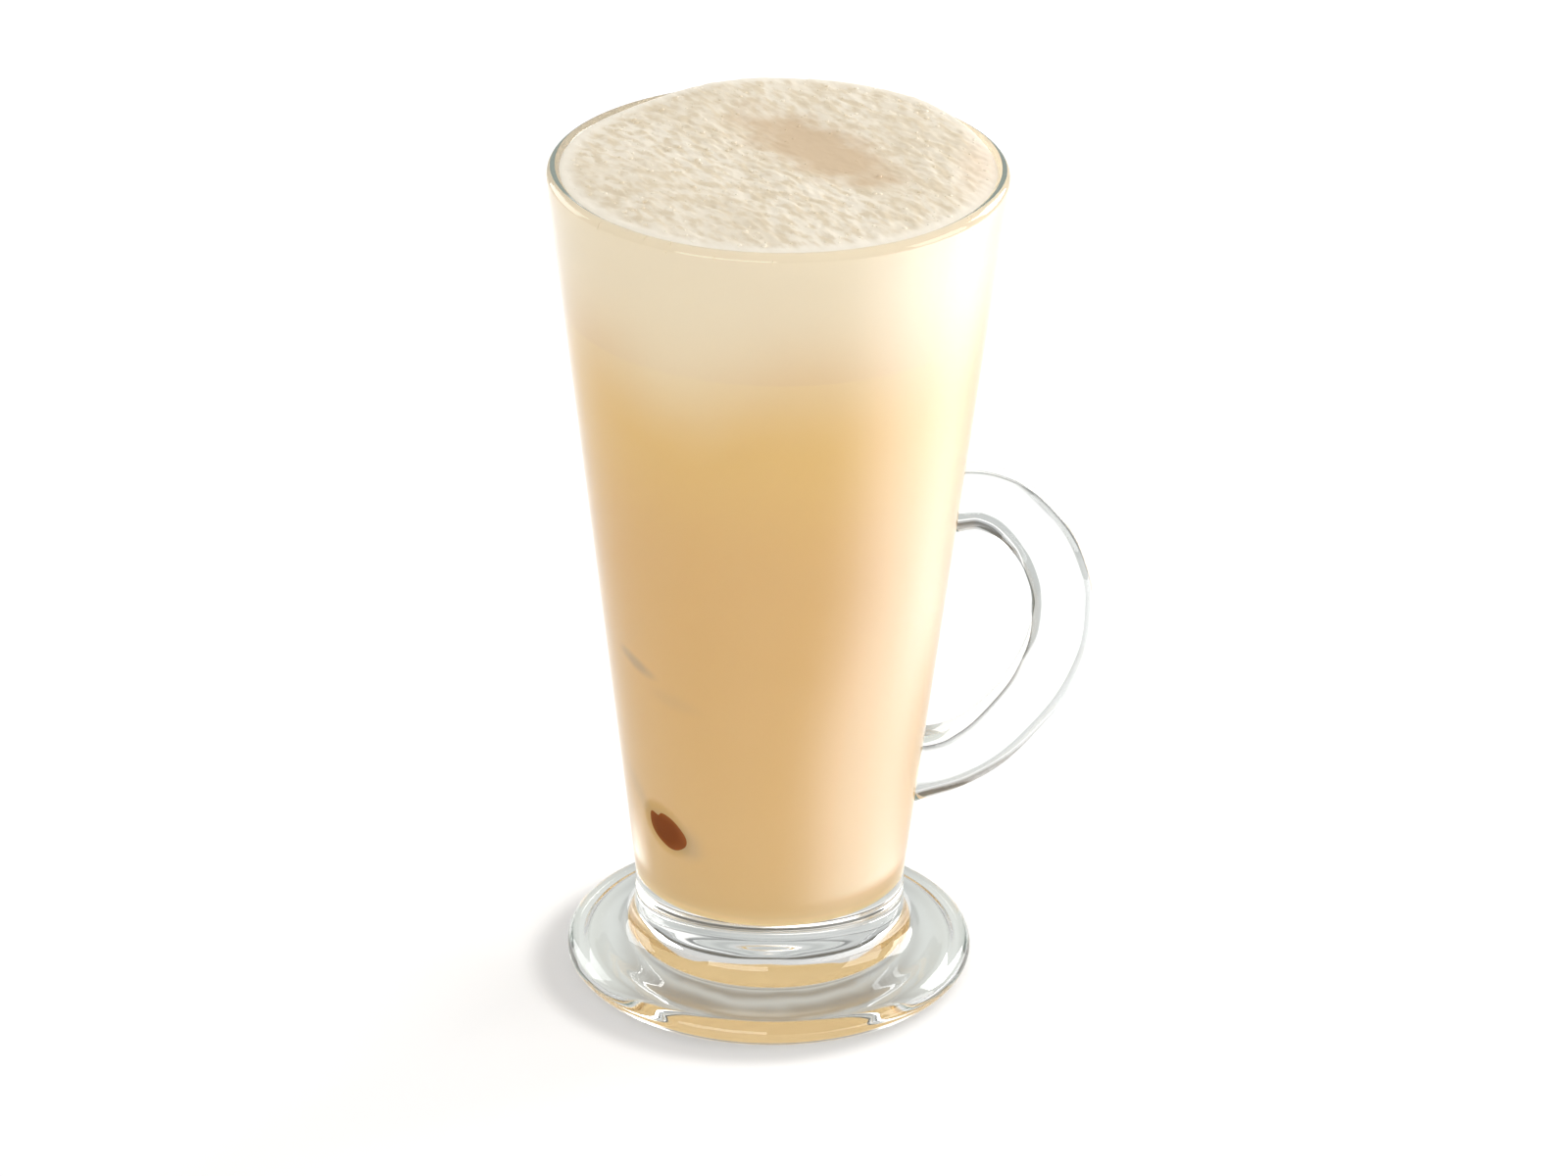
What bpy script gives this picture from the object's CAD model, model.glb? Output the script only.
from math import atan2, cos, exp, hypot, pi, radians, sin
from random import Random

import bpy
from mathutils import Matrix, Vector, noise


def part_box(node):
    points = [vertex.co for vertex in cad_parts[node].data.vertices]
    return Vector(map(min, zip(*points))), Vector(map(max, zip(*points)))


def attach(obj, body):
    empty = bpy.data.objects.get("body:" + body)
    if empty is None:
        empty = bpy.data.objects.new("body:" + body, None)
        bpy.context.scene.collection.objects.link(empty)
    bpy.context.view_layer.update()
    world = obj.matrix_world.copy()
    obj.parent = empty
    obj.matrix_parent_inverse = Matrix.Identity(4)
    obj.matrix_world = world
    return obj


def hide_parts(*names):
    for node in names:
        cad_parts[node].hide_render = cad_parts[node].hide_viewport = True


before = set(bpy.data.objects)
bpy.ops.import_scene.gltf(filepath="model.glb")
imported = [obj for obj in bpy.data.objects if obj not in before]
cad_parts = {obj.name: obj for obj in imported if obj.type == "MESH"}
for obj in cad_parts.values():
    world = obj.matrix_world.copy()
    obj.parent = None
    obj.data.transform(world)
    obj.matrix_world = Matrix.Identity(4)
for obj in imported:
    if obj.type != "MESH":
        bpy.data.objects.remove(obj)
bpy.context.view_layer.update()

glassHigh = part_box("glass")[1]
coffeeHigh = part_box("coffee")[1]
mm = 0.001


# Small helpers for shapes

def deselectAll():
    if bpy.context.object and bpy.context.object.mode != "OBJECT":
        bpy.ops.object.mode_set(mode="OBJECT")
    bpy.ops.object.select_all(action="DESELECT")


def pick(body):
    deselectAll()
    body.select_set(True)
    bpy.context.view_layer.objects.active = body


def editAll():  # edit mode, with everything in the mesh selected
    bpy.ops.object.mode_set(mode="EDIT")
    bpy.ops.mesh.select_all(action="SELECT")


def settle(body):  # puts the object at the origin, with its place in its mesh
    pick(body)
    bpy.ops.object.transform_apply(location=True, rotation=True, scale=True)


def faceOut(body):
    pick(body)
    editAll()
    bpy.ops.mesh.normals_make_consistent(inside=False)
    bpy.ops.object.mode_set(mode="OBJECT")


def smooth(body, angle):
    pick(body)
    bpy.ops.object.shade_smooth_by_angle(angle=radians(angle))


def combine(body, other, operation):  # one Boolean, applied, with the other shape used up
    modifier = body.modifiers.new(operation, "BOOLEAN")
    modifier.operation = operation
    modifier.solver = "EXACT"
    modifier.object = other
    pick(body)
    bpy.ops.object.modifier_apply(modifier=modifier.name)
    bpy.data.objects.remove(other)


def arc(centre, radius, start, end, steps):  # radius and height along an arc, angles in degrees
    points = []
    for i in range(steps + 1):
        angle = radians(start + (end - start) * i / steps)
        points.append((centre[0] + radius * cos(angle), centre[1] + radius * sin(angle)))
    return points


def straight(start, end, steps):  # points between two others, without the first
    return [(start[0] + (end[0] - start[0]) * i / steps, start[1] + (end[1] - start[1]) * i / steps)
            for i in range(1, steps + 1)]


def flatEnd(radius, height):  # rings across a flat end face, from near its edge inwards
    return [(radius * share, height) for share in (0.97, 0.5)]


def leftOfFront(away, angle, height):  # a point, by its distance from the axis and its angle to the left
    return (-away * sin(angle), -away * cos(angle), height)


def raiseRings(name, rings, segments):  # a round solid, extruded ring by ring from its lowest face
    deselectAll()
    radius, height = rings[0]
    bpy.ops.mesh.primitive_circle_add(vertices=segments, radius=radius, fill_type="NGON",
                                      location=(0, 0, height))
    body = bpy.context.object
    body.name = name
    settle(body)
    editAll()
    for nextRadius, nextHeight in rings[1:]:
        growth = nextRadius / radius
        bpy.ops.mesh.extrude_region_move(TRANSFORM_OT_translate={"value": (0, 0, nextHeight - height)})
        bpy.ops.transform.resize(value=(growth, growth, 1), center_override=(0, 0, nextHeight))
        radius, height = nextRadius, nextHeight
    bpy.ops.object.mode_set(mode="OBJECT")
    faceOut(body)
    bpy.ops.object.shade_smooth()
    return body


# The glass's form, as the frame has it

glassForm = {
    "height": glassHigh.z,
    "rimRadius": 40.1 * mm,      # outer cone at the full height
    "coneRadius": 24.3 * mm,     # and at its lower end
    "coneBase": 18.5 * mm,
    "rimWall": 2.7 * mm,
    "baseWall": 3.2 * mm,
    "floorTop": 16.6 * mm,
    "floorCorner": 3.6 * mm,
    "neckRadius": 24.2 * mm,
    "neckTop": 16.0 * mm,
    "neckFillet": 4.6 * mm,
    "footRadius": 36.5 * mm,
    "footEdge": 5.0 * mm,
    "footSlope": 15,
    "underside": (               # radius and height of the hollow underside, in mm
        (0, 3.13), (6, 2.72), (12, 2.43), (17, 2.52), (21, 2.64), (24.5, 1.80),
        (27.5, 1.11), (30, 0.90), (31.8, 0.69), (33.2, 0.0),
    ),
    "segments": 192,
    "undersideSteps": 5,         # rings along each stretch of the profile
    "edgeSteps": 22,
    "slopeSteps": 5,
    "filletSteps": 18,
    "neckSteps": 3,
    "wallSteps": 40,
    "lipSteps": 20,
    "cornerSteps": 12,
    "smoothAngle": 28,
}


def outerRadius(z):
    form = glassForm
    share = (z - form["coneBase"]) / (form["height"] - form["coneBase"])
    return form["coneRadius"] + (form["rimRadius"] - form["coneRadius"]) * share


def innerRadius(z):
    form = glassForm
    share = (z - form["floorTop"]) / (form["height"] - form["floorTop"])
    return outerRadius(z) - (form["baseWall"] + (form["rimWall"] - form["baseWall"]) * share)


def lipCircle():  # radius and height of the middle of the lip's round, and its own radius
    lipRound = glassForm["rimWall"] / 2
    lipHeight = glassForm["height"] - lipRound
    return (outerRadius(lipHeight) - lipRound, lipHeight), lipRound


def floorCorner():  # radius and height of the middle of the round between floor and wall
    height = glassForm["floorTop"] + glassForm["floorCorner"]
    return (innerRadius(height) - glassForm["floorCorner"], height)


def undersideRings():  # a smooth line through the points of the hollow underside, out to the standing ring
    points, steps = glassForm["underside"], glassForm["undersideSteps"]
    rings = []
    for i in range(len(points) - 1):
        before, here, after = points[max(i - 1, 0)][1], points[i][1], points[i + 1][1]
        beyond = points[min(i + 2, len(points) - 1)][1]
        for step in range(steps):
            t = step / steps
            height = 0.5 * (2 * here + (after - before) * t
                            + (2 * before - 5 * here + 4 * after - beyond) * t * t
                            + (3 * here - before - 3 * after + beyond) * t ** 3)
            radius = points[i][0] + (points[i + 1][0] - points[i][0]) * t
            rings.append((radius * mm, max(height, 0) * mm))
    return rings[1:] + [(points[-1][0] * mm, 0.0)]


def glassRings():  # from the underside out, up the outside, over the lip and down to the floor
    form = glassForm
    edgeRound = form["footEdge"] / 2
    edge = (form["footRadius"] - edgeRound, edgeRound)
    slope = form["footSlope"]
    filletX = form["neckRadius"] + form["neckFillet"]
    slant = edgeRound + form["neckFillet"] - (filletX - edge[0]) * sin(radians(slope))
    fillet = (filletX, edgeRound + slant / cos(radians(slope)))
    rings = undersideRings()
    rings += arc(edge, edgeRound, -90, 90 - slope, form["edgeSteps"])
    rise = arc(fillet, form["neckFillet"], 270 - slope, 180, form["filletSteps"])
    rings += straight(rings[-1], rise[0], form["slopeSteps"]) + rise[1:]
    rings += straight(rings[-1], (form["neckRadius"], form["neckTop"]), form["neckSteps"])
    rings += [(form["coneRadius"], form["coneBase"])]
    lip, lipRound = lipCircle()
    rings += straight(rings[-1], (outerRadius(lip[1]), lip[1]), form["wallSteps"])
    rings += arc(lip, lipRound, 0, 180, form["lipSteps"])[1:]
    bend = arc(floorCorner(), form["floorCorner"], -5, -90, form["cornerSteps"])
    rings += straight(rings[-1], bend[0], form["wallSteps"]) + bend[1:]
    return rings + flatEnd(bend[-1][0], form["floorTop"])


# Handle: a flat-sided loop with round edges that widens a little where it joins the cone

handleForm = {
    "width": 10.9 * mm,          # in the plane of the loop
    "thickness": 6.4 * mm,
    "rounding": 2.5 * mm,
    "roundSteps": 7,
    "stop": 1.2 * mm,            # how far short of the inside of the wall it ends
    "stopSpan": (20 * mm, 130 * mm),  # heights that the cone which trims its ends covers
    "merge": 0.01 * mm,
    "smoothness": 14,            # rings between two points of the route
    "route": (                   # radius, height and swelling, from the upper root to the lower one
        (29.0, 91.2, 1.16),
        (37.8, 91.2, 1.08),
        (45.5, 85.7, 1.02),
        (50.2, 77.2, 1.00),
        (51.2, 69.0, 1.00),
        (49.5, 60.0, 1.02),
        (43.4, 49.8, 1.04),
        (34.0, 41.4, 1.08),
        (24.0, 38.2, 1.22),
    ),
}


def makeHandleSection():  # the outline of the handle's cross-section, as a curve
    form = handleForm
    deselectAll()
    bpy.ops.mesh.primitive_plane_add(size=1)
    section = bpy.context.object
    section.name = "handleSection"
    section.scale = (form["width"], form["thickness"], 1)
    settle(section)
    editAll()
    bpy.ops.mesh.bevel(offset=form["rounding"], segments=form["roundSteps"], affect="VERTICES")
    bpy.ops.mesh.delete(type="ONLY_FACE")
    bpy.ops.object.mode_set(mode="OBJECT")
    bpy.ops.object.convert(target="CURVE")
    return section


def makeHandle():
    form = handleForm
    section = makeHandleSection()
    deselectAll()
    bpy.ops.curve.primitive_bezier_curve_add(location=(0, 0, 0))
    handle = bpy.context.object
    handle.name = "handleLoop"
    spline = handle.data.splines[0]
    spline.bezier_points.add(len(form["route"]) - len(spline.bezier_points))
    for point, (r, z, swelling) in zip(spline.bezier_points, form["route"]):
        point.co = (r * mm, z * mm, 0)
        point.handle_left_type = point.handle_right_type = "AUTO"
        point.radius = swelling
    handle.data.twist_mode = "Z_UP"
    handle.data.resolution_u = form["smoothness"]
    handle.data.bevel_mode = "OBJECT"
    handle.data.bevel_object = section
    handle.data.use_fill_caps = True
    handle.rotation_euler = (pi / 2, 0, 0)
    pick(handle)
    bpy.ops.object.convert(target="MESH")
    handle = bpy.context.object
    settle(handle)
    editAll()
    bpy.ops.mesh.remove_doubles(threshold=form["merge"])
    bpy.ops.object.mode_set(mode="OBJECT")
    faceOut(handle)
    bpy.data.objects.remove(section)
    low, high = form["stopSpan"]
    deselectAll()
    bpy.ops.mesh.primitive_cone_add(vertices=glassForm["segments"], radius1=innerRadius(low) + form["stop"],
                                    radius2=innerRadius(high) + form["stop"], depth=high - low,
                                    location=(0, 0, (low + high) / 2))
    combine(handle, bpy.context.object, "DIFFERENCE")
    print("handle", len(handle.data.polygons), "faces")
    return handle


def makeGlass():
    vessel = raiseRings("glassVessel", glassRings(), glassForm["segments"])
    handle = makeHandle()
    combine(vessel, handle, "UNION")
    faceOut(vessel)
    smooth(vessel, glassForm["smoothAngle"])
    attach(vessel, "root")
    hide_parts("glass")
    print("glass", len(vessel.data.polygons), "faces")
    return vessel


# Milky coffee: fills the bowl and reaches just into the wall

coffeeForm = {
    "intoWall": 0.12 * mm,
    "top": coffeeHigh.z + 0.15 * mm,  # halfway across the solids' gap to the froth
    "segments": 192,
    "wallSteps": 36,
    "smoothAngle": 40,
}


def makeCoffee():
    form = coffeeForm
    reach = form["intoWall"]
    bend = arc(floorCorner(), glassForm["floorCorner"] + reach, -90, -5, glassForm["cornerSteps"])
    wallTop = (innerRadius(form["top"]) + reach, form["top"])
    rings = flatEnd(*bend[0])[::-1] + bend + straight(bend[-1], wallTop, form["wallSteps"])
    body = raiseRings("coffeeBody", rings + flatEnd(*wallTop), form["segments"])
    smooth(body, form["smoothAngle"])
    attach(body, "root")
    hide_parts("coffee")
    print("coffee", len(body.data.polygons), "faces")
    return body


# Froth: a low uneven dome that rises over the rim at the back, and reaches just into the wall

frothForm = {
    "intoWall": 0.12 * mm,
    "edge": 153.1 * mm,          # its height against the wall
    "lipSpare": 0.5 * mm,        # its edge's radius, beyond the straight of the wall
    "dome": 1.4 * mm,
    "heap": 2.35 * mm,           # how far it rises above its edge at the back, over the rim
    "heapMiddle": 74,            # bearing of its middle, in degrees from the handle's side
    "heapWidth": (22, 72),       # full within the first angle, gone at the second
    "heapReach": (0.35, 0.93),   # shares of the radius where it starts and is full
    "heapRounding": 40,          # how short the heap's rounded edge is
    "segments": 512,
    "rings": 118,
    "wallSteps": 20,
    "lipSteps": 6,
    "lift": 0.001 * mm,          # marks the top's rings, before they are raised to their height
    "lumps": 0.30 * mm,
    "lumpsOnHeap": 0.6,          # share of them that the heap takes away
    "crumple": 0.28 * mm,        # bubbly unevenness
    "crumpleWaves": (            # strength, length along the pour and across it in mm, and where it starts
        (0.7, 5.0, 2.4, 3.1),
        (0.85, 2.2, 1.0, 7.7),
    ),
    "pits": 0.29 * mm,
    "pitLength": (2.4, 1.3),     # mm along and across
    "pitWidth": 0.36,
    "edgeCalm": 14,              # how narrow the smooth edge is
    "streak": (0.58, -0.81),     # the way the froth was poured, seen from above
    "smoothAngle": 60,
    "seed": 11,
}


def swell(x, y):  # the same soft lumps as the frame's froth
    broad = sin(190 * x + 70 * y + 0.6) * cos(150 * y - 60 * x + 0.3)
    fine = sin(330 * x - 210 * y + 1.7) * cos(290 * y + 170 * x - 0.8)
    return 0.65 * broad + 0.35 * fine


cremaForm = {                    # the smooth brown streak, where the coffee was poured through the froth
    "middle": (7.0 * mm, 6.0 * mm),
    "along": 21.5 * mm,
    "across": 9.0 * mm,
    "falloff": 1.5,
    "calm": 0.75,                # share of the crumple that it takes away
    "sunk": 0.4 * mm,
}


def cremaShare(x, y):  # 1 in the middle of the streak, 0 outside it
    form = cremaForm
    sx, sy = frothForm["streak"]
    dx, dy = x - form["middle"][0], y - form["middle"][1]
    u, v = dx * sx + dy * sy, -dx * sy + dy * sx
    return exp(-((u / form["along"]) ** 2 + (v / form["across"]) ** 2) ** form["falloff"])


def smoothStep(low, high, value):
    t = min(max((value - low) / (high - low), 0.0), 1.0)
    return t * t * (3 - 2 * t)


def heapShare(x, y, share):  # 1 where the froth rises over the rim, 0 where it lies low
    form = frothForm
    away = abs(atan2(y, x) - radians(form["heapMiddle"]))
    away = min(away, 2 * pi - away)
    near, far = form["heapWidth"]
    return (1 - smoothStep(radians(near), radians(far), away)) * smoothStep(*form["heapReach"], share)


def crumpleHeight(x, y, share):  # the crumple and the pits, calm in the crema and at the edge
    form = frothForm
    sx, sy = form["streak"]
    u, v = (x * sx + y * sy) / mm, (-x * sy + y * sx) / mm
    calm = 1 - cremaForm["calm"] * cremaShare(x, y)
    edgeCalm = min(1.0, (1 - share) * form["edgeCalm"])
    crumple = sum(strength * noise.noise(Vector((u / along, v / across, start)))
                  for strength, along, across, start in form["crumpleWaves"])
    along, across = form["pitLength"]
    pit = noise.voronoi(Vector((u / along, v / across, 0.5)))[0][0]
    depth = max(0.0, form["pitWidth"] - pit) / form["pitWidth"]
    return (form["crumple"] * crumple - form["pits"] * depth * depth) * calm * edgeCalm


def frothHeight(x, y):  # height of the froth's top, above a point of the plan
    form = frothForm
    share = min(hypot(x, y) / (innerRadius(form["edge"]) + form["lipSpare"]), 1)
    heap = heapShare(x, y, share)
    rounding = min(1.0, (1 - share) * form["heapRounding"]) ** 0.5
    height = form["edge"] + form["dome"] * (1 - share ** 4) * (1 - heap) + form["heap"] * heap * rounding
    height += form["lumps"] * swell(x, y) * (1 - share ** 6) * (1 - form["lumpsOnHeap"] * heap)
    return height + crumpleHeight(x, y, share) - cremaForm["sunk"] * cremaShare(x, y)


def makeFroth():
    form = frothForm
    reach, edge, lift = form["intoWall"], form["edge"], form["lift"]
    low = coffeeForm["top"]
    (lipMiddle, lipHeight), lipRound = lipCircle()
    rings = flatEnd(innerRadius(low), low)[::-1] + [(innerRadius(low) + reach, low)]
    rings += straight(rings[-1], (innerRadius(lipHeight) + reach, lipHeight), form["wallSteps"])
    for i in range(1, form["lipSteps"] + 1):  # up against the round of the lip
        z = lipHeight + (edge - lipHeight) * i / form["lipSteps"]
        rings.append((lipMiddle - (lipRound ** 2 - (z - lipHeight) ** 2) ** 0.5 + reach, z))
    topRadius, count = rings[-1][0], form["rings"]
    rings += [(topRadius * (1 - i / count), edge + lift) for i in range(1, count)]
    body = raiseRings("frothHead", rings, form["segments"])
    for vertex in body.data.vertices:
        x, y, z = vertex.co
        if z > edge + lift / 2:
            vertex.co.z = frothHeight(x, y)
    smooth(body, form["smoothAngle"])
    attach(body, "root")
    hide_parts("milk_froth")
    print("froth", len(body.data.polygons), "faces")
    return body


# Bubbles: small domes in the froth's top, and a few against the wall just under the rim

bubbleForm = {
    "count": 420,
    "reach": 36.2 * mm,          # from the middle
    "size": (0.25 * mm, 0.62 * mm),
    "small": 1.7,                # above 1 there are more small ones
    "sunk": (-0.38, -0.08),      # a middle's place under the froth's top, as a share of the radius
    "flatness": 0.6,             # height for width
    "noneInCrema": 0.9,
    "wallCount": 46,
    "wallSize": (0.12 * mm, 0.26 * mm),
    "wallBand": (150.6 * mm, 152.2 * mm),
}


def bubblePlaces():
    form = bubbleForm
    chance = Random(frothForm["seed"])
    places = []
    while len(places) < form["count"]:
        x, y = chance.uniform(-1, 1) * form["reach"], chance.uniform(-1, 1) * form["reach"]
        if hypot(x, y) > form["reach"] or chance.random() < form["noneInCrema"] * cremaShare(x, y):
            continue
        small, large = form["size"]
        radius = small * (large / small) ** (chance.random() ** form["small"])
        places.append((x, y, frothHeight(x, y) + chance.uniform(*form["sunk"]) * radius, radius))
    for i in range(form["wallCount"]):
        angle = chance.uniform(0, 2 * pi)
        z = chance.uniform(*form["wallBand"])
        radius = chance.uniform(*form["wallSize"])
        away = innerRadius(z) + frothForm["intoWall"]
        places.append((away * cos(angle), away * sin(angle), z, radius))
    return places


def makeBubbles():
    deselectAll()
    bpy.ops.mesh.primitive_ico_sphere_add(subdivisions=2, radius=1)
    ball = bpy.context.object
    bpy.ops.object.shade_smooth()
    for x, y, z, radius in bubblePlaces():
        copy = bpy.data.objects.new("bubble", ball.data)
        copy.location = (x, y, z)
        copy.scale = (radius, radius, radius * bubbleForm["flatness"])
        bpy.context.scene.collection.objects.link(copy)
        copy.select_set(True)
    ball.select_set(False)
    first = bpy.context.selected_objects[0]
    first.data = ball.data.copy()
    bpy.context.view_layer.objects.active = first
    bpy.ops.object.join()
    bubbles = bpy.context.object
    bubbles.name = "frothBubbles"
    bpy.data.objects.remove(ball)
    settle(bubbles)
    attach(bubbles, "root")
    print("bubbles", len(bubbles.data.polygons), "faces")
    return bubbles


# Pocket of dark coffee against the wall, low on the left

pocketForm = {
    "angle": 48.5,               # degrees from the front towards the left
    "height": 33.4 * mm,
    "half": (4.85 * mm, 3.5 * mm),
    "egg": 0.17,                 # fuller at its lower end
    "tilt": -26.6,               # its long axis falls to the right
    "proud": 0.34 * mm,          # beyond the inside of the wall
    "deep": 1.8 * mm,
    "notch": 0.34,
    "notchAt": 2.45,             # angle of the notch in its outline, radians from the long axis
    "notchWidth": 0.26,
    "wobble": (0.03, 0.02),      # unevenness of its outline, three and five times round
}


def makePocket():
    form = pocketForm
    deselectAll()
    bpy.ops.mesh.primitive_uv_sphere_add(segments=64, ring_count=32, radius=1)
    pocket = bpy.context.object
    pocket.name = "darkPocket"
    bpy.ops.object.shade_smooth()
    tilt = radians(form["tilt"])
    broad, fine = form["wobble"]
    for vertex in pocket.data.vertices:
        u, v, w = vertex.co
        turn = atan2(v, u)
        outward = hypot(u, v) ** 3
        dent = 1 - form["notch"] * exp(-((turn - form["notchAt"]) / form["notchWidth"]) ** 2) * outward
        dent += broad * sin(3 * turn + 1) + fine * sin(5 * turn)
        u, v = u * dent * form["half"][0], v * (1 + form["egg"] * u) * dent * form["half"][1]
        right, up = u * cos(tilt) - v * sin(tilt), u * sin(tilt) + v * cos(tilt)
        z = form["height"] + up
        away = innerRadius(z) + (form["proud"] if w > 0 else form["deep"]) * w
        vertex.co = leftOfFront(away, radians(form["angle"]) - right / innerRadius(z), z)
    faceOut(pocket)
    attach(pocket, "root")
    print("pocket", len(pocket.data.polygons), "faces")
    return pocket


# Small helpers for materials; a tree is the node tree that a node is added to

def feed(tree, socket, value):  # links an output to a socket, or sets a fixed value
    if isinstance(value, bpy.types.NodeSocket):
        tree.links.new(value, socket)
    elif socket.type == "RGBA":
        socket.default_value = (*value, 1)
    else:
        socket.default_value = value


def setInputs(tree, node, inputs):
    for name, value in inputs.items():
        feed(tree, node.inputs[name], value)


def addNode(tree, kind, inputs=None, **settings):
    node = tree.nodes.new("ShaderNode" + kind)
    for name, value in settings.items():
        setattr(node, name, value)
    setInputs(tree, node, inputs or {})
    return node


def maths(tree, operation, *values):
    return addNode(tree, "Math", dict(enumerate(values)), operation=operation).outputs[0]


def mapped(tree, value, start, end, low=0.0, high=1.0, curve="SMOOTHSTEP"):  # start-end to low-high
    inputs = {"Value": value, "From Min": start, "From Max": end, "To Min": low, "To Max": high}
    return addNode(tree, "MapRange", inputs, interpolation_type=curve).outputs["Result"]


def objectPlace(tree):
    return addNode(tree, "TexCoord").outputs["Object"]


def split(tree, vector):
    return addNode(tree, "SeparateXYZ", {0: vector}).outputs


def lengthOf(tree, vector):
    return addNode(tree, "VectorMath", {0: vector}, operation="LENGTH").outputs["Value"]


def noiseAt(tree, vector, scale, detail):
    return addNode(tree, "TexNoise", {"Vector": vector, "Scale": scale, "Detail": detail}).outputs["Fac"]


def blendColours(tree, factor, first, second):  # mix of two colours or colour outputs
    mix = addNode(tree, "Mix", data_type="RGBA")
    for name, value in (("Factor", factor), ("A", first), ("B", second)):
        feed(tree, next(s for s in mix.inputs if s.name == name and s.enabled), value)
    return next(s for s in mix.outputs if s.enabled)


def mixShaders(tree, factor, first, second):
    return addNode(tree, "MixShader", {0: factor, 1: first, 2: second}).outputs["Shader"]


def newMaterial(name):
    material = bpy.data.materials.new(name)
    material.use_nodes = True
    tree = material.node_tree
    tree.nodes.clear()
    output = addNode(tree, "OutputMaterial", name="surface")
    shader = addNode(tree, "BsdfPrincipled")
    tree.links.new(shader.outputs["BSDF"], output.inputs["Surface"])
    return material, tree, shader


def showShader(tree, shader):  # makes it what the material shows
    tree.links.new(shader, tree.nodes["surface"].inputs["Surface"])


def dress(body, material):
    body.data.materials.clear()
    body.data.materials.append(material)


def makeGroup(name, inputs, output):  # a shader node group with named sockets
    group = bpy.data.node_groups.new(name, "ShaderNodeTree")
    for title, kind, value in inputs:
        socket = group.interface.new_socket(name=title, in_out="INPUT", socket_type="NodeSocket" + kind)
        socket.default_value = value
    group.interface.new_socket(name=output, in_out="OUTPUT", socket_type="NodeSocketFloat")
    entry = group.nodes.new("NodeGroupInput")
    leave = group.nodes.new("NodeGroupOutput")
    return group, entry.outputs, leave.inputs


# Shared effects: the border of the froth, and soft spots

layerForm = {
    "height": 129 * mm,
    "softness": 16 * mm,
    "unevenness": 4 * mm,
    "wave": (42, 3),             # scale and detail of the noise that bends the border
}


def layerGroup():  # 1 in the froth and 0 in the coffee, with a soft uneven border between
    form = layerForm
    group, entry, leave = makeGroup("frothOverCoffee", [
        ("Height", "Float", form["height"]), ("Softness", "Float", form["softness"]),
        ("Unevenness", "Float", form["unevenness"])], "Froth")
    place = objectPlace(group)
    wave = maths(group, "SUBTRACT", noiseAt(group, place, *form["wave"]), 0.5)
    height = maths(group, "MULTIPLY_ADD", wave, entry["Unevenness"], split(group, place)["Z"])
    low = maths(group, "SUBTRACT", entry["Height"], entry["Softness"])
    high = maths(group, "ADD", entry["Height"], entry["Softness"])
    feed(group, leave["Froth"], mapped(group, height, low, high))
    return group


def spotGroup():  # a soft ragged oval in space: 1 in its middle, 0 outside
    group, entry, leave = makeGroup("softSpot", [
        ("Location", "Vector", (0, 0, 0)), ("Rotation", "Vector", (0, 0, 0)),
        ("Size", "Vector", (0.01, 0.01, 0.01)), ("Core", "Float", 0.2),
        ("Raggedness", "Float", 0.3), ("Grain", "Float", 300.0)], "Spot")
    place = objectPlace(group)
    local = addNode(group, "Mapping", {
        "Vector": place, "Location": entry["Location"], "Rotation": entry["Rotation"],
        "Scale": entry["Size"]}, vector_type="TEXTURE")
    ragged = maths(group, "SUBTRACT", noiseAt(group, place, entry["Grain"], 3), 0.5)
    length = lengthOf(group, local.outputs["Vector"])
    away = maths(group, "MULTIPLY_ADD", ragged, entry["Raggedness"], length)
    feed(group, leave["Spot"], mapped(group, away, entry["Core"], 1.0, 1.0, 0.0))
    return group


def addSpot(tree, spots, place, rotation, size, core, raggedness, grain):
    return addNode(tree, "Group", {
        "Location": place, "Rotation": rotation, "Size": size, "Core": core,
        "Raggedness": raggedness, "Grain": grain}, node_tree=spots).outputs["Spot"]


def paintSpot(tree, spots, colour, tint, strength, *spot):  # another colour in a spot, as addSpot takes it
    share = maths(tree, "MULTIPLY", addSpot(tree, spots, *spot), strength)
    return blendColours(tree, share, colour, tint)


def wallSpot(angle, height, tilt):  # place and rotation of a spot on the inside of the wall
    turn = radians(angle)
    outward = Vector((-sin(turn), -cos(turn), 0))
    right = Vector((cos(turn), -sin(turn), 0))
    along = right * cos(radians(tilt)) + Vector((0, 0, sin(radians(tilt))))
    rotation = Matrix((along, outward.cross(along), outward)).transposed().to_euler()
    return leftOfFront(innerRadius(height), turn, height), tuple(rotation)


# Materials of the drink

tints = {                        # linear colours
    "frothSide": (0.925, 0.79, 0.588),
    "frothTop": (0.925, 0.845, 0.70),
    "frothShade": (0.765, 0.655, 0.48),
    "frothRing": (0.99, 0.925, 0.80),
    "frothWarm": (0.95, 0.78, 0.60),
    "crema": (0.675, 0.51, 0.33),
    "coffee": (0.80, 0.512, 0.197),
    "coffeePale": (0.82, 0.54, 0.228),
    "coffeeTop": (0.85, 0.575, 0.215),
    "coffeeFloor": (0.96, 0.71, 0.37),
    "glow": (1.0, 0.64, 0.27),
    "cloud": (0.98, 0.87, 0.67),
    "ice": (0.50, 0.37, 0.235),  # greyish, where ice lies just behind the coffee
    "pocket": (0.26, 0.062, 0.008),
    "pocketEdge": (0.36, 0.10, 0.02),
}

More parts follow.
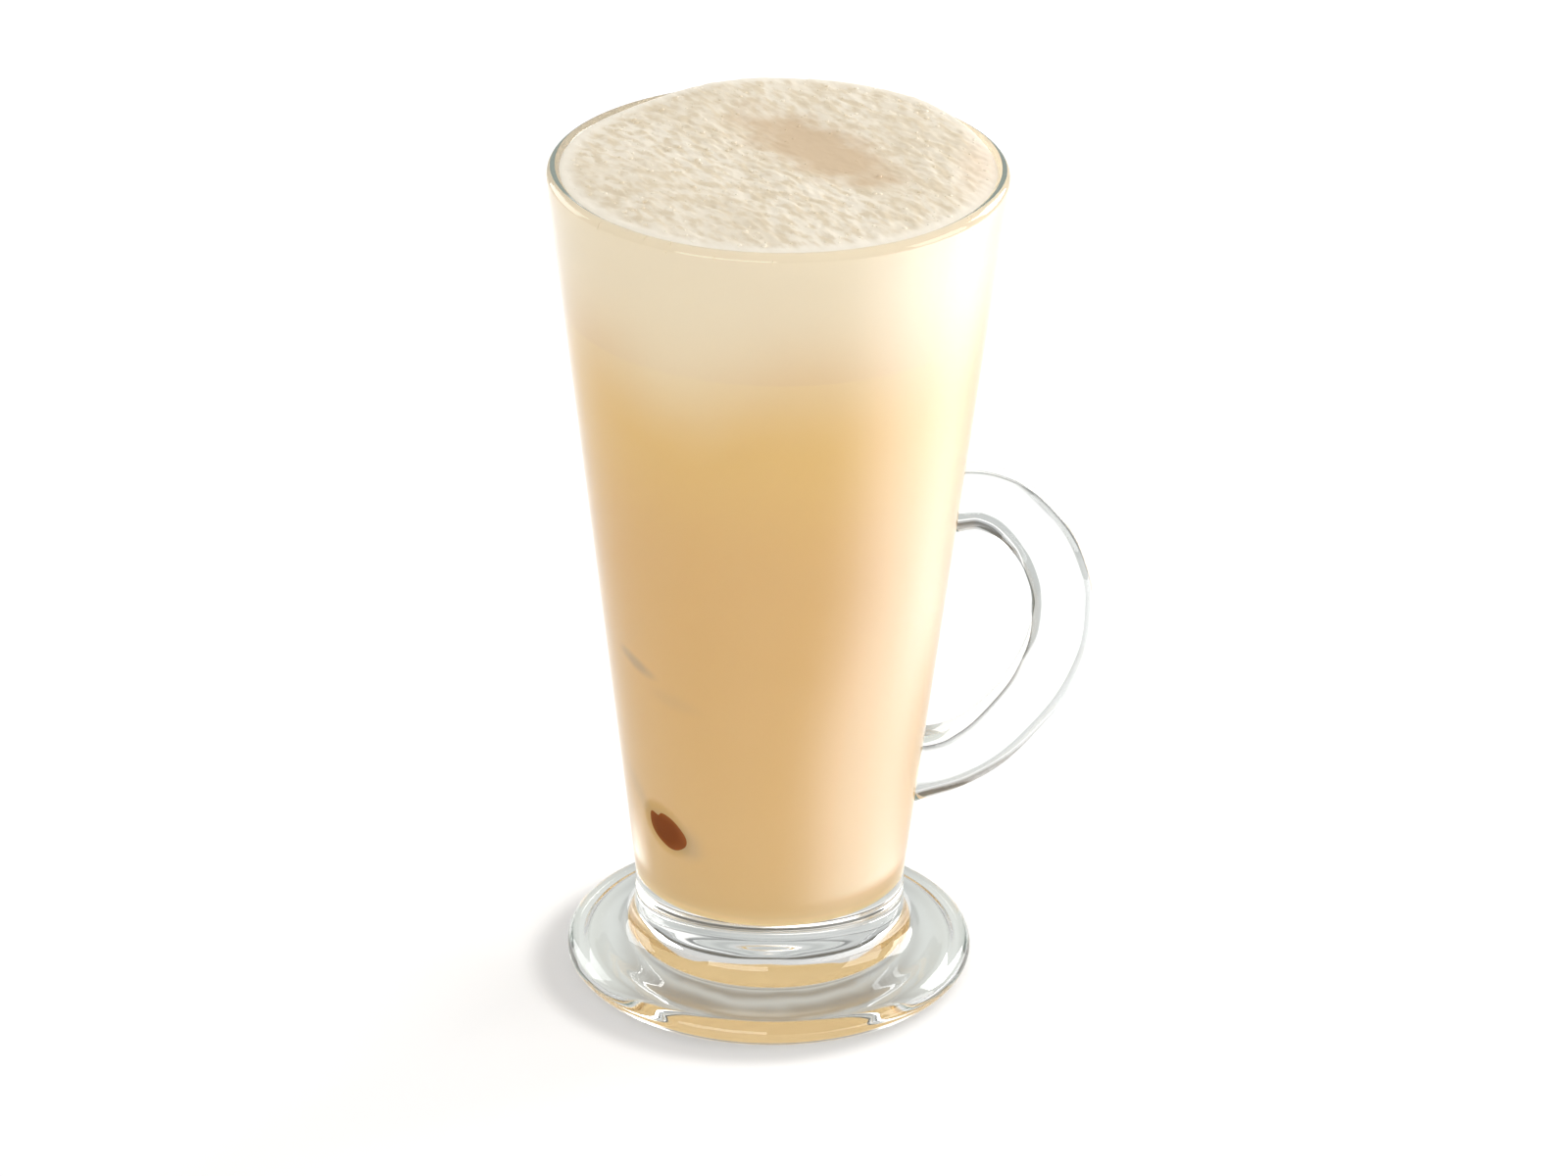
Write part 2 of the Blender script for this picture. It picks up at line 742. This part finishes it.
smudges = (                      # angle to the left, height, tilt, half sizes, core, raggedness, strength
    (44.5, 33.2 * mm, -24, (8.2 * mm, 5.0 * mm, 5 * mm), 0.25, 0.35, 0.78),
    (66.0, 38.5 * mm, -50, (7.0 * mm, 3.0 * mm, 5 * mm), 0.15, 0.30, 0.30),
    (56.0, 66.2 * mm, -17, (6.6 * mm, 1.9 * mm, 4 * mm), 0.15, 0.45, 0.66),
    (38.0, 61.5 * mm, -9, (8.0 * mm, 2.6 * mm, 4 * mm), 0.10, 0.40, 0.16),
)

cloudLook = {                    # paler froth, hanging lower on the left
    "place": (27, 132 * mm, 0),  # angle to the left, height, tilt
    "half": (21 * mm, 23 * mm, 14 * mm),
    "core": 0.0,
    "raggedness": 0.25,
    "grain": 90,
    "strength": 0.42,
}

coffeeLook = {
    "mottle": (55, 2),           # scale and detail
    "upper": (88 * mm, 116 * mm),    # heights over which it turns to its upper tone
    "lower": (22 * mm, 72 * mm),     # and over which the paler lower part ends
    "lowerShare": 0.22,
    "floor": (0.2 * mm, 4.5 * mm),   # above the bowl's floor, where it is palest
    "smudgeGrain": 260,
    "underFacing": (-0.3, -0.9),     # how far a face looks down, for the daylight from above
    "underGlow": 0.24,
    "roughness": 0.6,
    "shine": 0.1,
}


def addCloud(tree, spots, colour):
    look = cloudLook
    return paintSpot(tree, spots, colour, tints["cloud"], look["strength"], *wallSpot(*look["place"]),
                     look["half"], look["core"], look["raggedness"], look["grain"])


def coffeeMaterial(layers, spots):
    look = coffeeLook
    material, tree, shader = newMaterial("milkyCoffee")
    place = addNode(tree, "TexCoord").outputs
    height = split(tree, place["Object"])["Z"]
    froth = addNode(tree, "Group", node_tree=layers).outputs["Froth"]
    mottle = noiseAt(tree, place["Object"], *look["mottle"])
    colour = blendColours(tree, mottle, tints["coffee"], tints["coffeePale"])
    colour = blendColours(tree, mapped(tree, height, *look["upper"]), colour, tints["coffeeTop"])
    colour = blendColours(tree, froth, colour, tints["frothSide"])
    for angle, level, tilt, half, core, raggedness, strength in smudges:
        colour = paintSpot(tree, spots, colour, tints["ice"], strength, *wallSpot(angle, level, tilt),
                           half, core, raggedness, look["smudgeGrain"])
    colour = addCloud(tree, spots, colour)
    lower = mapped(tree, height, *look["lower"], look["lowerShare"], 0.0, "LINEAR")
    colour = blendColours(tree, lower, colour, tints["coffeeFloor"])
    near, far = look["floor"]
    floor = mapped(tree, height, glassForm["floorTop"] + near, glassForm["floorTop"] + far, 1.0, 0.0)
    colour = blendColours(tree, floor, colour, tints["coffeeFloor"])
    facing = split(tree, place["Normal"])["Z"]
    under = mapped(tree, facing, *look["underFacing"], 0.0, look["underGlow"], "LINEAR")
    setInputs(tree, shader, {
        "Base Color": colour, "Emission Color": tints["glow"], "Emission Strength": under,
        "Roughness": look["roughness"], "Specular IOR Level": look["shine"]})
    return material


pocketLook = {
    "depth": 4 * mm,             # of the spot that darkens its middle
    "core": 0.45,
    "raggedness": 0.30,
    "grain": 420,
    "roughness": 0.35,
    "shine": 0.2,
}


def pocketMaterial(spots):
    form, look = pocketForm, pocketLook
    material, tree, shader = newMaterial("darkCoffee")
    place, rotation = wallSpot(form["angle"], form["height"], form["tilt"])
    spot = addSpot(tree, spots, place, rotation, (*form["half"], look["depth"]),
                   look["core"], look["raggedness"], look["grain"])
    setInputs(tree, shader, {
        "Base Color": blendColours(tree, spot, tints["pocketEdge"], tints["pocket"]),
        "Roughness": look["roughness"], "Specular IOR Level": look["shine"]})
    return material


frothLook = {
    "stretch": (2.1, 0.9, 1.0),  # mottles along the pour, across it and down
    "grains": (620, 3),          # scale and detail of the fine mottle
    "grainsFrom": (0.38, 0.58),  # noise values from shade to full froth
    "patches": (95, 3),
    "patchesFrom": (0.42, 0.64),
    "patchesShare": 0.45,
    "cremaSize": (1.3, 1.35),    # times the streak's own length and width
    "cremaDeep": 20 * mm,
    "cremaCore": 0.30,
    "cremaRagged": 0.85,
    "cremaGrain": 190,
    "cremaShare": 0.95,
    "ring": (34.0 * mm, 36.8 * mm),  # radii over which the pale ring at the wall begins
    "ringShare": 0.8,
    "warmPlace": (35.5 * mm, 2 * mm, frothForm["edge"]),  # warm patch at the right edge
    "warmTurn": -8,
    "warmHalf": (7 * mm, 24 * mm, 20 * mm),
    "warmCore": 0.1,
    "warmRagged": 0.3,
    "warmGrain": 90,
    "warmShare": 0.6,
    "topFrom": (0.9 * mm, 0.3 * mm),  # below the edge's height, where the side's colour turns to the top's
}


def frothTopColour(tree, spots, place, axes):  # mottles, the crema streak, a pale ring and a warm patch
    form, look = frothForm, frothLook
    turn = atan2(form["streak"][1], form["streak"][0])
    pour = addNode(tree, "Mapping", {"Vector": place, "Rotation": (0, 0, turn), "Scale": look["stretch"]},
                   vector_type="TEXTURE").outputs["Vector"]
    grains = mapped(tree, noiseAt(tree, pour, *look["grains"]), *look["grainsFrom"], curve="LINEAR")
    patches = mapped(tree, noiseAt(tree, pour, *look["patches"]), *look["patchesFrom"],
                     0.0, look["patchesShare"], "LINEAR")
    top = blendColours(tree, grains, tints["frothShade"], tints["frothTop"])
    top = blendColours(tree, patches, top, tints["frothShade"])
    long, wide = look["cremaSize"]
    half = (cremaForm["along"] * long, cremaForm["across"] * wide, look["cremaDeep"])
    top = paintSpot(tree, spots, top, tints["crema"], look["cremaShare"],
                    (*cremaForm["middle"], form["edge"] + form["dome"]), (0, 0, turn), half,
                    look["cremaCore"], look["cremaRagged"], look["cremaGrain"])
    flat = addNode(tree, "CombineXYZ", {"X": axes["X"], "Y": axes["Y"]}).outputs["Vector"]
    ring = mapped(tree, lengthOf(tree, flat), *look["ring"], 0.0, look["ringShare"])
    top = blendColours(tree, ring, top, tints["frothRing"])
    return paintSpot(tree, spots, top, tints["frothWarm"], look["warmShare"],
                     look["warmPlace"], (0, 0, radians(look["warmTurn"])), look["warmHalf"],
                     look["warmCore"], look["warmRagged"], look["warmGrain"])


def frothMaterial(name, layers, spots, roughness, shine):
    material, tree, shader = newMaterial(name)
    place = objectPlace(tree)
    axes = split(tree, place)
    froth = addNode(tree, "Group", node_tree=layers).outputs["Froth"]
    side = addCloud(tree, spots, blendColours(tree, froth, tints["coffee"], tints["frothSide"]))
    start, full = frothLook["topFrom"]
    onTop = mapped(tree, axes["Z"], frothForm["edge"] - start, frothForm["edge"] - full, curve="LINEAR")
    colour = blendColours(tree, onTop, side, frothTopColour(tree, spots, place, axes))
    setInputs(tree, shader, {"Base Color": colour, "Roughness": roughness, "Specular IOR Level": shine})
    return material


# Material of the glass

glassLook = {
    "tint": (0.965, 0.985, 0.975),
    "index": 1.5,
    "handleFrom": (0.3 * mm, 0.8 * mm),  # how far right of the cone's side the handle counts
    "handleAbove": 22 * mm,      # and above the foot
    "shadow": (0.35, 0.36, 0.355),       # light that the vessel lets through to the table
    "handleShadow": (0.92, 0.93, 0.925),
    "deepTurns": 10.5,           # a ray that has turned more often ends in the deep tone
    "deepTone": (0.26, 0.31, 0.265),     # what light keeps after many turns inside the glass
}


def handleMask(tree):  # 1 on the handle and 0 on the vessel
    form, look = glassForm, glassLook
    axes = split(tree, objectPlace(tree))
    slope = (form["rimRadius"] - form["coneRadius"]) / (form["height"] - form["coneBase"])
    tableRadius = form["coneRadius"] - slope * form["coneBase"]
    beside = maths(tree, "MULTIPLY_ADD", axes["Z"], -slope, axes["X"])
    start, full = look["handleFrom"]
    onHandle = mapped(tree, beside, tableRadius + start, tableRadius + full, curve="LINEAR")
    return maths(tree, "MULTIPLY", onHandle, maths(tree, "GREATER_THAN", axes["Z"], look["handleAbove"]))


def glassMaterial():
    look = glassLook
    material, tree, shader = newMaterial("clearGlass")
    setInputs(tree, shader, {"Base Color": look["tint"], "Roughness": 0.0, "IOR": look["index"],
                             "Transmission Weight": 1.0})
    handle = handleMask(tree)
    rays = addNode(tree, "LightPath").outputs
    mirrored = maths(tree, "GREATER_THAN", rays["Glossy Depth"], 0.5)
    outside = maths(tree, "LESS_THAN", rays["Transmission Depth"], 0.5)
    skip = maths(tree, "MULTIPLY", maths(tree, "MULTIPLY", mirrored, outside), handle)
    passing = addNode(tree, "BsdfTransparent").outputs["BSDF"]  # the cone mirrors the table, not the handle
    surface = mixShaders(tree, skip, shader.outputs["BSDF"], passing)
    deep = addNode(tree, "Emission", {"Color": look["deepTone"]}).outputs["Emission"]
    turned = maths(tree, "GREATER_THAN", rays["Ray Depth"], look["deepTurns"])
    surface = mixShaders(tree, turned, surface, deep)
    through = blendColours(tree, handle, look["shadow"], look["handleShadow"])
    shade = addNode(tree, "BsdfTransparent", {"Color": through}).outputs["BSDF"]
    showShader(tree, mixShaders(tree, rays["Is Shadow Ray"], surface, shade))
    return material


# Stage: floor, softboxes and room

stageForm = {
    "floorSize": 6,
    "floorDrop": 0.2 * mm,       # keeps the glass's underside clear of the floor
    "paper": 0.90,               # the floor's own grey near the glass
    "paperRoughness": 0.9,
    "floorGlow": 0.24,
    "floorSeen": 0.72,           # the camera sees it darker than its light says, so that shadows show
    "contactMiddle": (-4.2 * mm, -2.4 * mm),   # the soft dark edge where the foot stands
    "contactReach": (35.5 * mm, 41.5 * mm),
    "contactDark": 0.26,
    "glowSeen": 1.4,             # its glow as the camera sees it
    "floorBright": 0.60,         # radius in metres of the bright middle of the floor
    "floorDim": 1.25,            # beyond this it is grey
    "floorGrey": 0.45,
    "horizon": 0.50,             # brightness of the room, level with the table and overhead
    "zenith": 0.70,
    "roomRise": (0.08, 0.7),     # heights on the unit sphere between the two
    "boxAim": (0, 0, 80 * mm),
    "boxes": (                   # name, middle, width, height, brightness, colour
        ("keyRight", (0.66, 0.56, 0.44), 0.45, 0.45, 7.0, (1.0, 0.98, 0.95)),
        ("front", (-0.55, -1.20, 0.26), 1.2, 0.5, 3.9, (1.0, 0.99, 0.98)),
        ("fillRight", (0.95, -0.10, 0.34), 0.6, 0.6, 3.8, (1.0, 0.99, 0.97)),
        ("backLeft", (-0.75, 0.55, 0.35), 0.6, 0.5, 3.0, (1.0, 1.0, 1.0)),
    ),
}


def even(grey):
    return (grey, grey, grey)


def makeFloor():
    form = stageForm
    deselectAll()
    bpy.ops.mesh.primitive_plane_add(size=form["floorSize"], location=(0, 0, -form["floorDrop"]))
    floor = bpy.context.object
    floor.name = "floor"
    material, tree, shader = newMaterial("paleFloor")
    place = objectPlace(tree)
    dimming = mapped(tree, lengthOf(tree, place), form["floorBright"], form["floorDim"])
    paper = blendColours(tree, dimming, even(form["paper"]), even(form["floorGrey"]))
    glow = blendColours(tree, dimming, even(1), even(form["floorGrey"]))
    middle = (*form["contactMiddle"], -form["floorDrop"])
    fromFoot = addNode(tree, "VectorMath", {0: place, 1: middle}, operation="DISTANCE").outputs["Value"]
    contact = mapped(tree, fromFoot, *form["contactReach"], form["contactDark"], 0.0)
    seen = addNode(tree, "LightPath").outputs["Is Camera Ray"]
    paper = blendColours(tree, seen, paper, blendColours(tree, contact, even(form["floorSeen"]), even(0)))
    glow = blendColours(tree, seen, glow, blendColours(tree, contact, even(form["glowSeen"]), even(0)))
    setInputs(tree, shader, {
        "Base Color": paper, "Roughness": form["paperRoughness"], "Specular IOR Level": 0.0,
        "Emission Color": glow, "Emission Strength": form["floorGlow"]})
    dress(floor, material)


def makeSoftbox(name, middle, width, height, strength, colour):
    light = bpy.data.lights.new(name, "AREA")
    light.shape = "RECTANGLE"
    light.size = width
    light.size_y = height
    light.energy = strength * width * height * pi
    light.color = colour
    lamp = bpy.data.objects.new(name, light)
    bpy.context.scene.collection.objects.link(lamp)
    lamp.location = middle
    aim = Vector(stageForm["boxAim"]) - Vector(middle)
    lamp.rotation_euler = aim.to_track_quat("-Z", "Y").to_euler()


def makeRoom():  # darker near the horizon, so that the glass's edges show
    world = bpy.data.worlds.new("studio")
    world.use_nodes = True
    tree = world.node_tree
    height = split(tree, addNode(tree, "TexCoord").outputs["Generated"])["Z"]
    rise = mapped(tree, height, *stageForm["roomRise"], stageForm["horizon"], stageForm["zenith"])
    setInputs(tree, tree.nodes["Background"], {"Strength": rise, "Color": even(1)})
    bpy.context.scene.world = world


# Cards that only the glass sees, in its reflections or through its edges

cardForm = {
    "sideDistance": 155 * mm,    # dark cards beside the glass
    "sideHeight": 70 * mm,
    "sideReach": (-420 * mm, 120 * mm),
    "sideGrey": (0.16, 0.18, 0.17),
    "shadeHeight": 0.7 * mm,     # grey sheet behind the glass, seen only through its edges
    "shadeSize": (1.0, 0.54),
    "shadeMiddle": (0.0, 0.315),
    "shadeGrey": (0.60, 0.61, 0.60),
    "shadeDark": (0.20, 0.20, 0.20),
    "shadeNear": (52 * mm, 80 * mm),          # dark nearer than this, grey beyond it
    "shadeGap": (54 * mm, 28 * mm, 42 * mm),  # left clear behind the handle: middle, half width, outer fade
    "shadeReach": (150 * mm, 72 * mm, 110 * mm),  # and the same from front to back
    "glareHeight": 0.3 * mm,     # bright sheet on the table to the right
    "glareRadius": (46 * mm, 430 * mm),
    "glareStart": (46 * mm, 51 * mm),         # fades in over these radii
    "glareMiddle": -3.0,         # bearing from the handle's side towards the back, in degrees
    "glareWidth": 92.0,          # degrees either side where it has faded out
    "glareNear": (75 * mm, 150 * mm),         # radii over which its swing to the front ends
    "glareSwing": 20.0,
    "glareStrength": 6.2,
    "dimMiddle": 90.0,           # straight behind, grey in the reflections
    "dimWidth": 24.0,
    "dimGrey": 0.50,
    "edgeMiddle": 154.0,         # a weaker bright patch close by on the left
    "edgeWidth": 36.0,
    "edgeNear": (46 * mm, 84 * mm),
    "edgeShare": 0.62,
    "roundSegments": 96,
    "underRadius": 47 * mm,      # shade under the foot and close around it
    "underGrey": (0.35, 0.32, 0.28),
    "underPale": (0.50, 0.51, 0.50),          # towards the back
    "underTurn": (-22 * mm, 12 * mm),
    "underSide": (0.78, 0.79, 0.74),          # to the left and right
    "underSides": (0, 17 * mm, 33 * mm),
    "underRings": {"Scale": 62, "Distortion": 2.2, "Detail": 2, "Detail Scale": 1.6},
    "underRing": (0.86, 0.88, 0.85),          # soft rings of light, as thick glass throws them
    "underRingShare": 0.42,
    "backDistance": 0.9,         # dark strip far behind, just above the table
    "backSize": (1.6, 0.34),
    "backHeight": 0.26,
    "backGrey": (0.13, 0.125, 0.11),
    "pocketTurn": 46.0,          # patch before the dark pocket, degrees from the front towards the left
    "pocketHeight": 34.2 * mm,
    "pocketHalf": (7.0 * mm, 5.3 * mm),
    "pocketDeep": 8 * mm,
    "pocketCore": 0.70,
    "pocketGrid": 16,
    "pocketGap": 0.3 * mm,       # off the wall
    "pocketGlow": (0.12, 0.09, 0.06),
}


def placeCard(card, material, reflection, refraction):  # shows only in what the glass mirrors or bends
    dress(card, material)
    card.visible_camera = card.visible_diffuse = card.visible_shadow = card.visible_volume_scatter = False
    card.visible_glossy, card.visible_transmission = reflection, refraction


def makePlane(name, location, rotation, width, height):
    deselectAll()
    bpy.ops.mesh.primitive_plane_add(size=1, rotation=rotation, location=location)
    card = bpy.context.object
    card.name = name
    card.scale = (width, height, 1)
    settle(card)
    return card


def makeCircle(name, radius, height, fill):
    deselectAll()
    bpy.ops.mesh.primitive_circle_add(vertices=cardForm["roundSegments"], radius=radius, fill_type=fill,
                                      location=(0, 0, height))
    sheet = bpy.context.object
    sheet.name = name
    settle(sheet)
    return sheet


def glowOnly(tree, shader, colour):  # a card of one even light, which mirrors nothing
    setInputs(tree, shader, {"Base Color": even(0), "Specular IOR Level": 0.0,
                             "Emission Color": colour, "Emission Strength": 1.0})


def glowWhere(tree, shader, cover, colour, strength=1.0):  # glows where cover is 1, clear where it is 0
    glow = addNode(tree, "Emission", {"Color": colour, "Strength": strength}).outputs["Emission"]
    clear = addNode(tree, "BsdfTransparent").outputs["BSDF"]
    showShader(tree, mixShaders(tree, cover, clear, glow))
    tree.nodes.remove(shader)


def offBy(tree, value, middle):  # how far a value is from a middle, either way
    return maths(tree, "ABSOLUTE", maths(tree, "SUBTRACT", value, middle))


def window(tree, value, middle, half, outer):  # 0 near the middle and 1 beyond the outer distance
    return mapped(tree, offBy(tree, value, middle), half, outer)


def lobe(tree, turn, middle, width):  # 1 at one bearing around the glass, fading to 0 on both sides of it
    return mapped(tree, offBy(tree, turn, radians(middle)), 0.0, radians(width), 1.0, 0.0, "SMOOTHERSTEP")


def makeDarkCards():
    form = cardForm
    start, end = form["sideReach"]
    material, tree, shader = newMaterial("darkCard")
    glowOnly(tree, shader, form["sideGrey"])
    for name, side in (("darkCardLeft", -1), ("darkCardRight", 1)):
        middle = (side * form["sideDistance"], (start + end) / 2, form["sideHeight"] / 2)
        card = makePlane(name, middle, (0, pi / 2, 0), form["sideHeight"], end - start)
        placeCard(card, material, False, True)


def makeShadeSheet():  # darkens what the glass's edges bend into view, and stays clear behind the handle
    form = cardForm
    middle = (*form["shadeMiddle"], form["shadeHeight"])
    sheet = makePlane("shadeSheet", middle, (0, 0, 0), *form["shadeSize"])
    material, tree, shader = newMaterial("shadeGrey")
    axes = split(tree, objectPlace(tree))
    sides = window(tree, axes["X"], *form["shadeGap"])
    depth = window(tree, axes["Y"], *form["shadeReach"])
    far = mapped(tree, axes["Y"], *form["shadeNear"])
    tone = blendColours(tree, far, form["shadeDark"], form["shadeGrey"])
    glowWhere(tree, shader, maths(tree, "MAXIMUM", sides, depth), tone)
    placeCard(sheet, material, False, True)


def makeGlareSheet():  # what the cone mirrors of the bright table, mostly on the right
    form = cardForm
    inner, outer = form["glareRadius"]
    sheet = makeCircle("glareSheet", inner, form["glareHeight"], "NOTHING")
    editAll()
    bpy.ops.mesh.extrude_region_move()
    bpy.ops.transform.resize(value=(outer / inner, outer / inner, 1))
    bpy.ops.object.mode_set(mode="OBJECT")
    material, tree, shader = newMaterial("glareLight")
    place = objectPlace(tree)
    axes = split(tree, place)
    turn = maths(tree, "ARCTAN2", axes["Y"], axes["X"])
    away = lengthOf(tree, place)
    swing = mapped(tree, away, *form["glareNear"], radians(form["glareSwing"]), 0.0)
    right = lobe(tree, maths(tree, "ADD", turn, swing), form["glareMiddle"], form["glareWidth"])
    left = lobe(tree, turn, form["edgeMiddle"], form["edgeWidth"])
    close = mapped(tree, away, *form["edgeNear"], form["edgeShare"], 0.0)
    glare = maths(tree, "MULTIPLY_ADD", left, close, right)
    dim = lobe(tree, turn, form["dimMiddle"], form["dimWidth"])
    strength = mapped(tree, glare, 0.0, 1.0, form["dimGrey"], form["glareStrength"], "LINEAR")
    begin = mapped(tree, away, *form["glareStart"])
    cover = maths(tree, "MULTIPLY", maths(tree, "MAXIMUM", glare, dim), begin)
    glowWhere(tree, shader, cover, even(1), strength)
    placeCard(sheet, material, True, False)


def makeUnderShade():  # the shade that lies under the glass, as its foot shows it
    form = cardForm
    disc = makeCircle("underShade", form["underRadius"], -0.5 * stageForm["floorDrop"], "NGON")
    material, tree, shader = newMaterial("underGrey")
    place = objectPlace(tree)
    axes = split(tree, place)
    back = mapped(tree, axes["Y"], *form["underTurn"])
    tone = blendColours(tree, back, form["underGrey"], form["underPale"])
    tone = blendColours(tree, window(tree, axes["X"], *form["underSides"]), tone, form["underSide"])
    rings = addNode(tree, "TexWave", {"Vector": place, **form["underRings"]},
                    wave_type="RINGS", rings_direction="Z").outputs["Fac"]
    rings = maths(tree, "MULTIPLY", rings, form["underRingShare"])
    tone = blendColours(tree, rings, tone, form["underRing"])
    glowOnly(tree, shader, tone)
    placeCard(disc, material, False, True)


def makeBackShade():  # darkens the lower edge of the neck
    form = cardForm
    card = makePlane("backShade", (0, form["backDistance"], form["backHeight"]), (pi / 2, 0, 0),
                     *form["backSize"])
    material, tree, shader = newMaterial("backGrey")
    glowOnly(tree, shader, form["backGrey"])
    placeCard(card, material, False, True)


def makePocketShade(spots):  # keeps the wall clear of white reflections in front of the dark pocket
    form = cardForm
    deselectAll()
    steps = form["pocketGrid"]
    bpy.ops.mesh.primitive_grid_add(x_subdivisions=steps, y_subdivisions=steps, size=2)
    patch = bpy.context.object
    patch.name = "pocketShade"
    turn, half = radians(form["pocketTurn"]), form["pocketHalf"][0]
    for vertex in patch.data.vertices:   # wrapped around the cone
        z = form["pocketHeight"] + vertex.co.y * half
        away = outerRadius(z) + form["pocketGap"]
        vertex.co = leftOfFront(away, turn - vertex.co.x * half / away, z)
    material, tree, shader = newMaterial("pocketShade")
    place = leftOfFront(outerRadius(form["pocketHeight"]), turn, form["pocketHeight"])
    rotation = wallSpot(form["pocketTurn"], form["pocketHeight"], pocketForm["tilt"])[1]
    spot = addSpot(tree, spots, place, rotation, (*form["pocketHalf"], form["pocketDeep"]),
                   form["pocketCore"], 0.0, 300)
    glowWhere(tree, shader, spot, form["pocketGlow"])
    placeCard(patch, material, True, False)


def makeStage():
    makeFloor()
    makeDarkCards()
    makeShadeSheet()
    makeGlareSheet()
    makeUnderShade()
    makeBackShade()
    for box in stageForm["boxes"]:
        makeSoftbox(*box)
    makeRoom()
    bpy.context.scene.view_settings.view_transform = "Standard"
    paths = bpy.context.scene.cycles
    paths.max_bounces = 24       # light runs a long way round inside the thick glass
    paths.glossy_bounces = 16
    paths.transmission_bounces = 20
    print("stage with", len(stageForm["boxes"]), "softboxes")


# Camera, as the photo was taken

cameraForm = {
    "height": 25.6,              # degrees above the table
    "distance": 1.17,
    "target": (0, 0, 75 * mm),
    "lens": 151.9,
    "sensor": 36,
    "nearest": 0.05,
    "lean": 0.726,               # the photo leans the glass to the right by this much
    "shift": (0.0068, -0.0060),
}


def makeCamera():
    form = cameraForm
    data = bpy.data.cameras.new("camera")
    data.lens = form["lens"]
    data.sensor_width = form["sensor"]
    data.shift_x, data.shift_y = form["shift"]
    data.clip_start = form["nearest"]
    camera = bpy.data.objects.new("camera", data)
    bpy.context.scene.collection.objects.link(camera)
    rise = radians(form["height"])
    back = Vector((0, -cos(rise), sin(rise)))
    turn = back.to_track_quat("Z", "Y").to_matrix().to_4x4()
    camera.matrix_world = (Matrix.Translation(Vector(form["target"]) + back * form["distance"]) @ turn
                           @ Matrix.Rotation(radians(form["lean"]), 4, "Z"))
    bpy.context.scene.camera = camera


def main():
    makeCamera()
    makeStage()
    layers = layerGroup()
    spots = spotGroup()
    makePocketShade(spots)
    glass = makeGlass()
    coffee = makeCoffee()
    froth = makeFroth()
    bubbles = makeBubbles()
    pocket = makePocket()
    dress(glass, glassMaterial())
    dress(coffee, coffeeMaterial(layers, spots))
    dress(froth, frothMaterial("milkFroth", layers, spots, 0.55, 0.3))
    dress(bubbles, frothMaterial("frothFilm", layers, spots, 0.48, 0.35))
    dress(pocket, pocketMaterial(spots))
    print("materials on all five pieces")


main()
